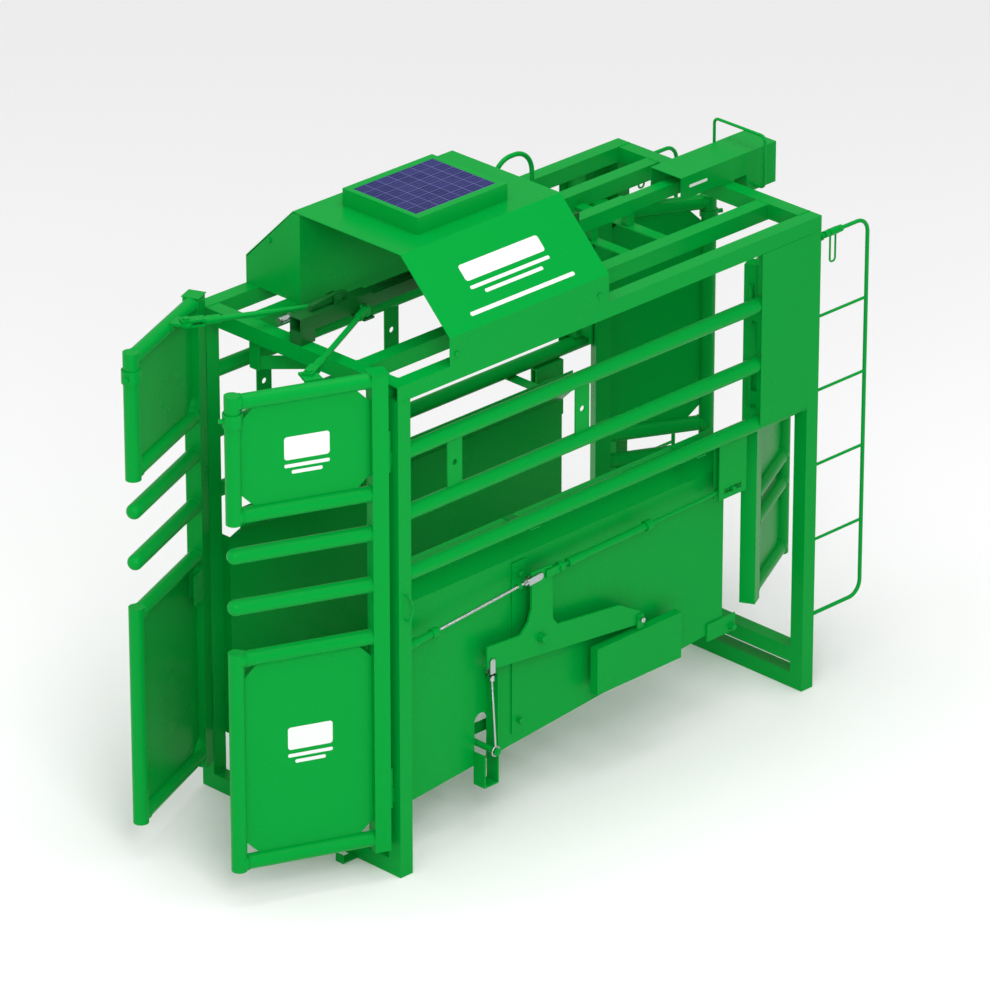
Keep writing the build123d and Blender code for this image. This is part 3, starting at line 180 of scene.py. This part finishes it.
bars.inputs["Mortar"].default_value = (1.0, 1.0, 1.0, 1.0)
lay = tree.nodes.new("ShaderNodeMix")
lay.data_type = "RGBA"
lay.inputs["B"].default_value = (0.16, 0.16, 0.36, 1.0)
tree.links.new(place.outputs["Object"], shift.inputs["Vector"])
tree.links.new(shift.outputs["Vector"], gaps.inputs["Vector"])
tree.links.new(shift.outputs["Vector"], bars.inputs["Vector"])
tree.links.new(bars.outputs["Color"], lay.inputs["Factor"])
tree.links.new(gaps.outputs["Color"], lay.inputs["A"])
tree.links.new(lay.outputs["Result"], shader.inputs["Base Color"])
shader.inputs["Roughness"].default_value = 0.42
shader.inputs["Specular IOR Level"].default_value = 0.08
finish_node("solar_panel", cells)

# ---- Weld beads of the frame
# Every tube and pipe is MIG welded all round where it meets a post or a rail. A bead is a
# narrow ring or a straight run with ripples along it, under the same green coat.


def turned(start, end, profile, sides=28):
    """Surface of revolution: ring k stands profile[k][0] metres from the start along the
    line to the end, with radius profile[k][1]. Returns points and quads."""
    start, end = np.array(start, float), np.array(end, float)
    axis = (end - start) / np.linalg.norm(end - start)
    spare = np.array([0.0, 0.0, 1.0]) if abs(axis[2]) < 0.9 else np.array([1.0, 0.0, 0.0])
    across = np.cross(spare, axis)
    across = across / np.linalg.norm(across)
    upward = np.cross(axis, across)
    profile = np.array(profile, float)
    turn = np.linspace(0, 2 * np.pi, sides, endpoint=False)
    ring = np.cos(turn)[:, None] * across + np.sin(turn)[:, None] * upward
    grid = start + profile[:, None, :1] * axis + profile[:, None, 1:] * ring[None]
    return grid.reshape(-1, 3), grid_quads(len(profile), sides, False)


def grid_quads(rows, columns, closed):
    """Quads of a grid whose columns wrap round, and whose rows do too when closed."""
    row = np.arange(rows if closed else rows - 1)[:, None]
    column = np.arange(columns)[None]
    ahead = (row + 1) % rows
    beside = (column + 1) % columns
    corners = (row * columns + column, row * columns + beside,
               ahead * columns + beside, ahead * columns + column)
    return np.stack(np.broadcast_arrays(*corners), -1).reshape(-1, 4).tolist()


def plate(outline, origin, right, up, thickness):
    """Flat plate: the outline in metres along right and up, made thick along their normal."""
    outline = np.array(outline, float)
    right, up = np.array(right, float), np.array(up, float)
    normal = np.cross(right, up)
    face = np.array(origin, float) + outline[:, :1] * right + outline[:, 1:] * up
    points = np.vstack([face, face + normal * thickness])
    count = len(outline)
    first = np.arange(count)
    second = (first + 1) % count
    sides = np.stack([first, second, second + count, first + count], -1).tolist()
    return points, sides + [first[::-1].tolist(), (first + count).tolist()]


def piece(name, shapes, material, body, bevel=0.0, angle=35.0):
    """Joins shapes into one object that rides on a body."""
    points, faces, total = [], [], 0
    for shape_points, shape_faces in shapes:
        points.append(shape_points)
        faces += [[corner + total for corner in face] for face in shape_faces]
        total += len(shape_points)
    mesh = bpy.data.meshes.new(name)
    mesh.from_pydata(np.vstack(points).tolist(), [], faces)
    work = bmesh.new()
    work.from_mesh(mesh)
    bmesh.ops.remove_doubles(work, verts=work.verts, dist=1e-6)
    bmesh.ops.recalc_face_normals(work, faces=work.faces)
    work.to_mesh(mesh)
    work.free()
    mesh.polygons.foreach_set("use_smooth", np.ones(len(mesh.polygons), bool))
    mesh.set_sharp_from_angle(angle=math.radians(angle))
    mesh.materials.append(material)
    made = bpy.data.objects.new(name, mesh)
    bpy.context.scene.collection.objects.link(made)
    if bevel:
        round_edges = made.modifiers.new("worn_edges", "BEVEL")
        round_edges.width = bevel
        round_edges.segments = 2
        round_edges.limit_method = "ANGLE"
    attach(made, body)
    return made


def ring_bead(centre, axis, radius, size=0.0042):
    """Closed bead round a pipe: a half-round ridge that stands on the pipe's wall."""
    centre, axis = np.array(centre, float), np.array(axis, float)
    lift = np.sin(np.linspace(0, np.pi, 7)) * size
    along = np.linspace(-size, size, 7)
    profile = np.stack([along + size, radius - 0.0008 + lift], -1)
    return turned(centre - axis * size, centre + axis * size, profile, 40)


def straight_bead(start, end, radius=0.0032):
    """Rippled run of weld in a corner: a bar whose radius swells once every 4 mm."""
    length = float(np.linalg.norm(np.array(end) - np.array(start)))
    along = np.linspace(0, length, max(12, int(length / 0.002)))
    swell = radius * (1 + 0.16 * np.sin(along * 2 * np.pi / 0.008))
    swell[0] = swell[-1] = 0.0
    return turned(start, end, np.stack([along, swell], -1), 8)


PIPE = 0.03015
POST_X, INNER_Y, OUTER_Y = 0.5115, 1.06675, 1.13025
POST_FACE, RAIL_LOW, RAIL_TOP, SILL_TOP = 0.47975, 1.9525, 2.016, 0.0635
beads = []
for side in (1, -1):
    for height in (1.234, 1.481, 1.730):
        for end in (1, -1):
            root = (side * POST_X, end * (INNER_Y - 0.003), height)
            beads.append(ring_bead(root, (0, 1, 0), PIPE))
    for end in (1, -1):
        face, near = side * POST_FACE, end * INNER_Y
        for height in (RAIL_TOP, RAIL_LOW, SILL_TOP):
            beads.append(straight_bead((face, near, height), (face, end * OUTER_Y, height)))
        for rail in (0.26225, 0.32575):
            beads.append(straight_bead((side * rail, near, 1.954), (side * rail, near, 2.015)))
        beads.append(straight_bead((side * 0.262, near, RAIL_TOP), (side * 0.326, near, RAIL_TOP)))
        for edge in (0.48, 0.543):
            beads.append(straight_bead((side * edge, near, RAIL_LOW),
                                       (side * edge, end * 1.13, RAIL_LOW), 0.0024))
        beads.append(straight_bead((side * 0.48, near, RAIL_LOW), (side * 0.543, near, RAIL_LOW)))
piece("frame_welds", beads, green, "frame")

# ---- Head gate doors: caps and beads
# Each door is a square stile with pipe bars welded to it. The stile has a thin overhanging
# cap, each bar a bead at its root, and the upright pipe at the free end is welded to the bars.
DOOR_TURN = math.radians(67.0)


def door_point(side, along, out, height):
    """Point of a head gate door: metres along it from the stile, and outward from it."""
    run = np.array([-side * math.cos(DOOR_TURN), -math.sin(DOOR_TURN), 0.0])
    outward = np.array([side * math.sin(DOOR_TURN), -math.cos(DOOR_TURN), 0.0])
    return np.array([side * 0.489, -1.182, height]) + run * along + outward * out


def along_door(side):
    """Unit vectors of a door: along it and outward."""
    base = door_point(side, 0, 0, 0)
    return door_point(side, 1, 0, 0) - base, door_point(side, 0, 1, 0) - base


DOOR_BARS = (0.176, 1.015, 1.229, 1.437, 1.597, 2.050)
for name, side in (("near", 1), ("far", -1)):
    run, outward = along_door(side)
    body = f"head_door_{name}"
    square = [(-0.036, -0.036), (0.036, -0.036), (0.036, 0.036), (-0.036, 0.036)]
    cap = plate(square, door_point(side, 0, 0, 2.080), run, outward, 0.003 * side)
    piece(f"stile_cap_{name}", [cap], green, body, bevel=0.0008)
    roots = [ring_bead(door_point(side, 0.0335, 0, height), run, PIPE) for height in DOOR_BARS]
    corners = []
    for height in (0.176, 1.015, 1.597, 2.050):
        corners.append(ring_bead(door_point(side, 0.560 - PIPE - 0.001, 0, height), run, PIPE))
    piece(f"head_door_welds_{name}", roots + corners, green, body)

# ---- Tail gate doors: beads
# The tail doors are made the same way as the head doors, and are narrower.
TAIL_TURN = math.radians(63.0)


def tail_point(side, along, out, height):
    """Point of a tail gate door: metres along it from the stile, and outward from it."""
    run = np.array([-side * math.cos(TAIL_TURN), math.sin(TAIL_TURN), 0.0])
    outward = np.array([side * math.sin(TAIL_TURN), math.cos(TAIL_TURN), 0.0])
    return np.array([side * 0.408, 0.903, height]) + run * along + outward * out


for name, side in (("near", 1), ("far", -1)):
    base = tail_point(side, 0, 0, 0)
    run = tail_point(side, 1, 0, 0) - base
    roots = []
    for height in (0.450, 0.735, 0.850, 1.800):
        roots.append(ring_bead(tail_point(side, 0.0335, 0, height), run, PIPE))
        roots.append(ring_bead(tail_point(side, 0.442 - PIPE - 0.001, 0, height), run, PIPE))
    piece(f"tail_door_welds_{name}", roots, green, f"tail_door_{name}")

# ---- Pull rods to the head gate
# A zinc-plated clevis and threaded rod run forward from the bell crank into a green sleeve
# and pipe, which slides in a guide on the front post.
ROD_X = 0.495


def threaded(start, end, radius, pitch=0.004):
    """Threaded rod: rings whose radius swings between crest and root once a pitch."""
    length = float(np.linalg.norm(np.array(end) - np.array(start)))
    steps = max(8, int(length / pitch) * 4)
    along = np.linspace(0, length, steps)
    crest = radius - 0.0005 * (1 + np.cos(along * 2 * np.pi / pitch))
    crest[0] = crest[-1] = 0.0
    return turned(start, end, np.stack([along, crest], -1), 12)


def solid_bar(start, end, radius, sides=24, chamfer=0.0012):
    """Closed bar with chamfered ends; six sides give a hexagon nut."""
    length = float(np.linalg.norm(np.array(end) - np.array(start)))
    profile = [(0, 0), (0, radius - chamfer), (chamfer, radius), (length - chamfer, radius),
               (length, radius - chamfer), (length, 0)]
    return turned(start, end, profile, sides)


def fork(pin, away, inner, thickness, width, reach):
    """Two cheeks of a clevis, rounded round the pin, and the block that joins them."""
    away = np.array(away, float)
    rise = np.cross(np.array([1.0, 0.0, 0.0]), away)
    half = width / 2
    curl = np.linspace(np.pi / 2, 3 * np.pi / 2, 11)
    outline = np.vstack([np.stack([np.cos(curl), np.sin(curl)], -1) * half,
                         [[reach, -half], [reach, half]]])
    cheeks = []
    for offset in (inner, -inner - thickness):
        cheeks.append(plate(outline, np.array(pin) + [offset, 0, 0], away, rise, thickness))
    back = reach - 0.012
    bridge = np.array([[back, -half], [reach, -half], [reach, half], [back, half]])
    wide = inner + thickness
    cheeks.append(plate(bridge, np.array(pin) - [wide, 0, 0], away, rise, 2 * wide))
    return cheeks


for name, side in (("near", 1), ("far", -1)):
    pin = np.array([side * ROD_X, -0.354, 0.977])
    tip = np.array([side * ROD_X, -1.026, 0.9205])
    unit = (tip - pin) / np.linalg.norm(tip - pin)
    reach = float(np.linalg.norm(tip - pin))
    steelwork = fork(pin, unit, 0.0055, 0.0075, 0.030, 0.060)
    steelwork.append(solid_bar(pin - [0.0145, 0, 0], pin + [0.0145, 0, 0], 0.008))
    steelwork.append(solid_bar(pin + unit * 0.058, pin + unit * 0.080, 0.0125))
    steelwork.append(threaded(pin + unit * 0.078, pin + unit * (reach * 0.80), 0.0062))
    rod = piece(f"front_threaded_rod_{name}", steelwork, steel, f"front_rod_{name}",
                bevel=0.0006)
    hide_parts(f"front_rod_{name}")
    tube = [solid_bar(pin + unit * 0.096, pin + unit * 0.108, 0.0135, 6),
            solid_bar(pin + unit * (reach * 0.785), pin + unit * (reach * 0.800), 0.0165, 6),
            solid_bar(pin + unit * (reach * 0.795), pin + unit * (reach * 0.840), 0.019, 28, 0.003),
            solid_bar(pin + unit * (reach * 0.835), tip, 0.0135)]
    sleeve = piece(f"front_rod_sleeve_{name}", tube, green, f"front_rod_{name}")
    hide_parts(f"front_rod_{name}")

# ---- Eye links from the bell cranks to the axle
# A small clevis on the end of the crank takes a thin plated rod, which ends in a ring round
# the end of the floor axle.


def ring(centre, radius, wire, around=48, across=14):
    """Round ring in the plane across X: a circle of wire carried round a circle."""
    around_turn = np.linspace(0, 2 * np.pi, around, endpoint=False)[:, None]
    wire_turn = np.linspace(0, 2 * np.pi, across, endpoint=False)[None]
    spread = radius + wire * np.cos(wire_turn)
    grid = np.stack(np.broadcast_arrays(centre[0] + wire * np.sin(wire_turn) + 0 * around_turn,
                                        centre[1] + spread * np.cos(around_turn),
                                        centre[2] + spread * np.sin(around_turn)), -1)
    return grid.reshape(-1, 3), grid_quads(around, across, True)


for name, side in (("near", 1), ("far", -1)):
    top = np.array([side * ROD_X, -0.607, 0.706])
    eye = np.array([side * 0.520, -0.606, 0.336])
    unit = (eye - top) / np.linalg.norm(eye - top)
    down = np.array([0.0, 0.0, -1.0])
    shapes = fork(top, down, 0.0055, 0.0070, 0.026, 0.060)
    shapes.append(solid_bar(top - [0.014, 0, 0], top + [0.014, 0, 0], 0.0080))
    shapes.append(solid_bar(top + unit * 0.056, top + unit * 0.080, 0.0110))
    shapes.append(threaded(top + unit * 0.078, top + unit * 0.150, 0.0052, 0.003))
    shapes.append(solid_bar(top + unit * 0.148, eye - unit * 0.0165, 0.0046))
    shapes.append(ring(eye, 0.0180, 0.0045))
    link = piece(f"plated_eye_link_{name}", shapes, steel, f"link_{name}",
                 bevel=0.0006)
    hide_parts(f"eye_link_{name}")

# ---- Coil spring of the slide
# Steel wire wound on the guide rod beside the front of the slide housing.


def coil(start, end, radius, wire, turns):
    """Helix about a line along Y: a circle of wire carried round and along the axis."""
    steps = int(turns * 28)
    along = np.linspace(0, 1, steps)[:, None]
    spin = along * turns * 2 * np.pi
    wire_turn = np.linspace(0, 2 * np.pi, 12, endpoint=False)[None]
    spread = radius + wire * np.cos(wire_turn)
    height = start[1] + (end[1] - start[1]) * along + wire * np.sin(wire_turn)
    grid = np.stack(np.broadcast_arrays(start[0] + spread * np.cos(spin), height,
                                        start[2] + spread * np.sin(spin)), -1)
    return grid.reshape(-1, 3), grid_quads(steps, 12, False)


low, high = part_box("slide_spring")
middle_x, middle_z = (low[0] + high[0]) / 2, (low[2] + high[2]) / 2
spring = piece("slide_coil_spring",
               [coil((middle_x, low[1] + 0.002, middle_z), (middle_x, high[1] - 0.002, middle_z),
                     0.0105, 0.0022, 8)], steel, "frame")
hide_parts("slide_spring")
finish_node("spring_rod", steel)

# ---- Hanging strap
# A flat bar welded to a short hanger under the front cross rail. It runs back at an angle
# below the slide and ends in the open.
STRAP_T, STRAP_BAR, STRAP_HANGER = 0.006, 0.054, 0.124
low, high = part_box("hanging_strap")
strap_start = np.array([low[0] + 0.025, low[1] + STRAP_T / 2, low[2]])
strap_end = np.array([high[0] - STRAP_T / 2, high[1] - 0.025, low[2]])
strap_run = strap_end - strap_start
strap_length = float(np.linalg.norm(strap_run))
strap_run = strap_run / strap_length
strap_side = np.cross(strap_run, [0.0, 0.0, 1.0])
bar = plate([(0, 0), (strap_length, 0), (strap_length, STRAP_BAR), (0, STRAP_BAR)],
            strap_start - strap_side * STRAP_T / 2, strap_run, (0, 0, 1), STRAP_T)
hanger = plate([(-0.025, 0), (0.025, 0), (0.025, STRAP_HANGER), (-0.025, STRAP_HANGER)],
               strap_start + [0, STRAP_T / 2, 0], (1, 0, 0), (0, 0, 1), STRAP_T)
strap = piece("bent_hanging_strap", [bar, hanger], green, "frame", bevel=0.0008)
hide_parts("hanging_strap")

# ---- Nuts and bolt heads
# Hexagon heads hold the crank pivots, the straps, the weights, the hood and its side wall.


def head(side, inner, outer, along, height, radius):
    """Hexagon head whose axis is along X, from inner to outer on one side."""
    return solid_bar((side * inner, along, height), (side * outer, along, height), radius, 6)


heads = []
for side in (1, -1):
    heads.append(head(side, 0.5115, 0.524, -0.345, 0.717, 0.0150))
    for height in (0.373, 0.990):
        heads.append(head(side, 0.454, 0.463, -0.408, height, 0.0125))
    heads.append(head(side, 0.457, 0.467, 0.760, 0.361, 0.0120))
    for along in (-0.830, -0.084):
        heads.append(head(side, 0.5430, 0.5495, along, 2.057, 0.0105))
heads.append(solid_bar((-0.415, -0.8625, 2.226), (-0.415, -0.8715, 2.226), 0.0105, 6))
piece("bolt_heads", heads, green, "frame")
for name, side in (("near", 1), ("far", -1)):
    bolt = head(side, 0.5155, 0.524, 0.190, 0.611, 0.0115)
    piece(f"weight_bolt_{name}", [bolt], steel, f"crank_{name}")

# ---- Plain white decals
# Thin vinyl pieces of a generic shape: a plain label over two thin bars on the door panels,
# a label over three bars on the hood, and one plain bar on the release cover.
white = coated("white_vinyl", (0.80, 0.82, 0.80), 0.1, 0.05, 0.30)


def rounded(half_width, half_height, corner, middle=(0.0, 0.0)):
    """Rectangle with round corners, as an outline of points."""
    turn = np.linspace(0, np.pi / 2, 7)
    arc = np.stack([np.cos(turn), np.sin(turn)], -1) * corner
    quarter = []
    for step, (sx, sy) in enumerate(((1, 1), (-1, 1), (-1, -1), (1, -1))):
        spun = arc if step == 0 else np.stack([
            arc[:, 0] * math.cos(step * np.pi / 2) - arc[:, 1] * math.sin(step * np.pi / 2),
            arc[:, 0] * math.sin(step * np.pi / 2) + arc[:, 1] * math.cos(step * np.pi / 2)], -1)
        quarter.append(spun + [sx * (half_width - corner) + middle[0],
                               sy * (half_height - corner) + middle[1]])
    return np.vstack(quarter)


def decal(name, shapes, origin, right, up, body):
    """Vinyl pieces 0.4 mm thick on a face."""
    made = [plate(shape, origin, right, up, 0.0004) for shape in shapes]
    piece(name, made, white, body, angle=20)


for name, side in (("near", 1), ("far", -1)):
    run, outward = along_door(side)
    right = -run * side
    for spot, height in (("upper", 1.800), ("lower", 0.620)):
        origin = door_point(side, 0.275, 0.0023, height)
        shapes = [rounded(0.088, 0.046, 0.012, (0, 0.034)),
                  rounded(0.088, 0.007, 0.006, (0, -0.036)),
                  rounded(0.060, 0.007, 0.006, (0, -0.062))]
        decal(f"door_decal_{spot}_{name}", shapes, origin, -right if side < 0 else right,
              (0, 0, 1), f"head_door_{name}")
slope = np.array([-(0.54325 - 0.286), 0.0, 2.382 - 2.129])
slope = slope / np.linalg.norm(slope)
for name, side in (("near", 1), ("far", -1)):
    up_slope = slope * [side, 1, 1]
    lift = np.array([side * slope[2], 0, -slope[0]]) * 0.0004
    centre = np.array([side * 0.43, -0.45, 2.2405]) + lift
    shapes = [rounded(0.205, 0.034, 0.012, (0, 0.050)), rounded(0.205, 0.007, 0.006, (0, -0.012)),
              rounded(0.150, 0.007, 0.006, (0, -0.042)), rounded(0.270, 0.008, 0.007, (0, -0.105))]
    decal(f"hood_decal_{name}", shapes, centre, (0, side, 0), up_slope, "frame")
decal("cover_decal", [rounded(0.050, 0.006, 0.005)], (0.0812, 0.930, 2.072), (0, 1, 0),
      (0, 0, 1), "frame")

# ---- Floor, light and camera
# A plain pale floor, soft light from above and both sides, and a long lens.
floor_mesh = bpy.data.meshes.new("studio_floor")
FLOOR_REACH, FLOOR_DROP = 40, -0.001
floor_mesh.from_pydata([(x * FLOOR_REACH, y * FLOOR_REACH, FLOOR_DROP)
                        for x, y in ((-1, -1), (1, -1), (1, 1), (-1, 1))], [], [(0, 1, 2, 3)])
floor = bpy.data.objects.new("studio_floor", floor_mesh)
bpy.context.scene.collection.objects.link(floor)
pale = bpy.data.materials.new("pale_floor")
pale.use_nodes = True
pale.node_tree.nodes["Principled BSDF"].inputs["Base Color"].default_value = (0.93, 0.93, 0.93, 1.0)
pale.node_tree.nodes["Principled BSDF"].inputs["Roughness"].default_value = 0.9
floor_mesh.materials.append(pale)

world = bpy.data.worlds.new("studio")
world.use_nodes = True
world.node_tree.nodes["Background"].inputs["Color"].default_value = (1.0, 1.0, 1.0, 1.0)
world.node_tree.nodes["Background"].inputs["Strength"].default_value = 0.50
bpy.context.scene.world = world
for label, place, size, power in (("key", (5.5, -4.5, 5.0), 3.0, 240.0),
                                  ("fill", (-5.0, -5.5, 3.5), 4.0, 90.0),
                                  ("top", (0.5, 0.5, 7.0), 4.0, 90.0)):
    lamp = bpy.data.lights.new(label, "AREA")
    lamp.size = size
    lamp.energy = power
    light = bpy.data.objects.new(label, lamp)
    light.location = place
    light.rotation_euler = (Vector((0, 0, 1.0)) - Vector(place)).to_track_quat("-Z", "Y").to_euler()
    bpy.context.scene.collection.objects.link(light)
sky = bpy.data.lights.new("overhead", "SUN")
sky.energy = 1.1
sky.angle = math.radians(60.0)
overhead = bpy.data.objects.new("overhead", sky)
overhead.rotation_euler = (math.radians(12.0), math.radians(12.0), 0.0)
bpy.context.scene.collection.objects.link(overhead)

lens = bpy.data.cameras.new("long_lens")
lens.lens = 271.6
lens.sensor_width = 36.0
lens.clip_end = 200.0
camera = bpy.data.objects.new("camera", lens)
camera.location = (18.272, -18.289, 13.232)
aim = Vector((-0.0513, -0.0402, 1.0249)) - Vector(camera.location)
camera.rotation_euler = aim.to_track_quat("-Z", "Y").to_euler()
bpy.context.scene.collection.objects.link(camera)
bpy.context.scene.camera = camera
bpy.context.scene.view_settings.view_transform = "Standard"
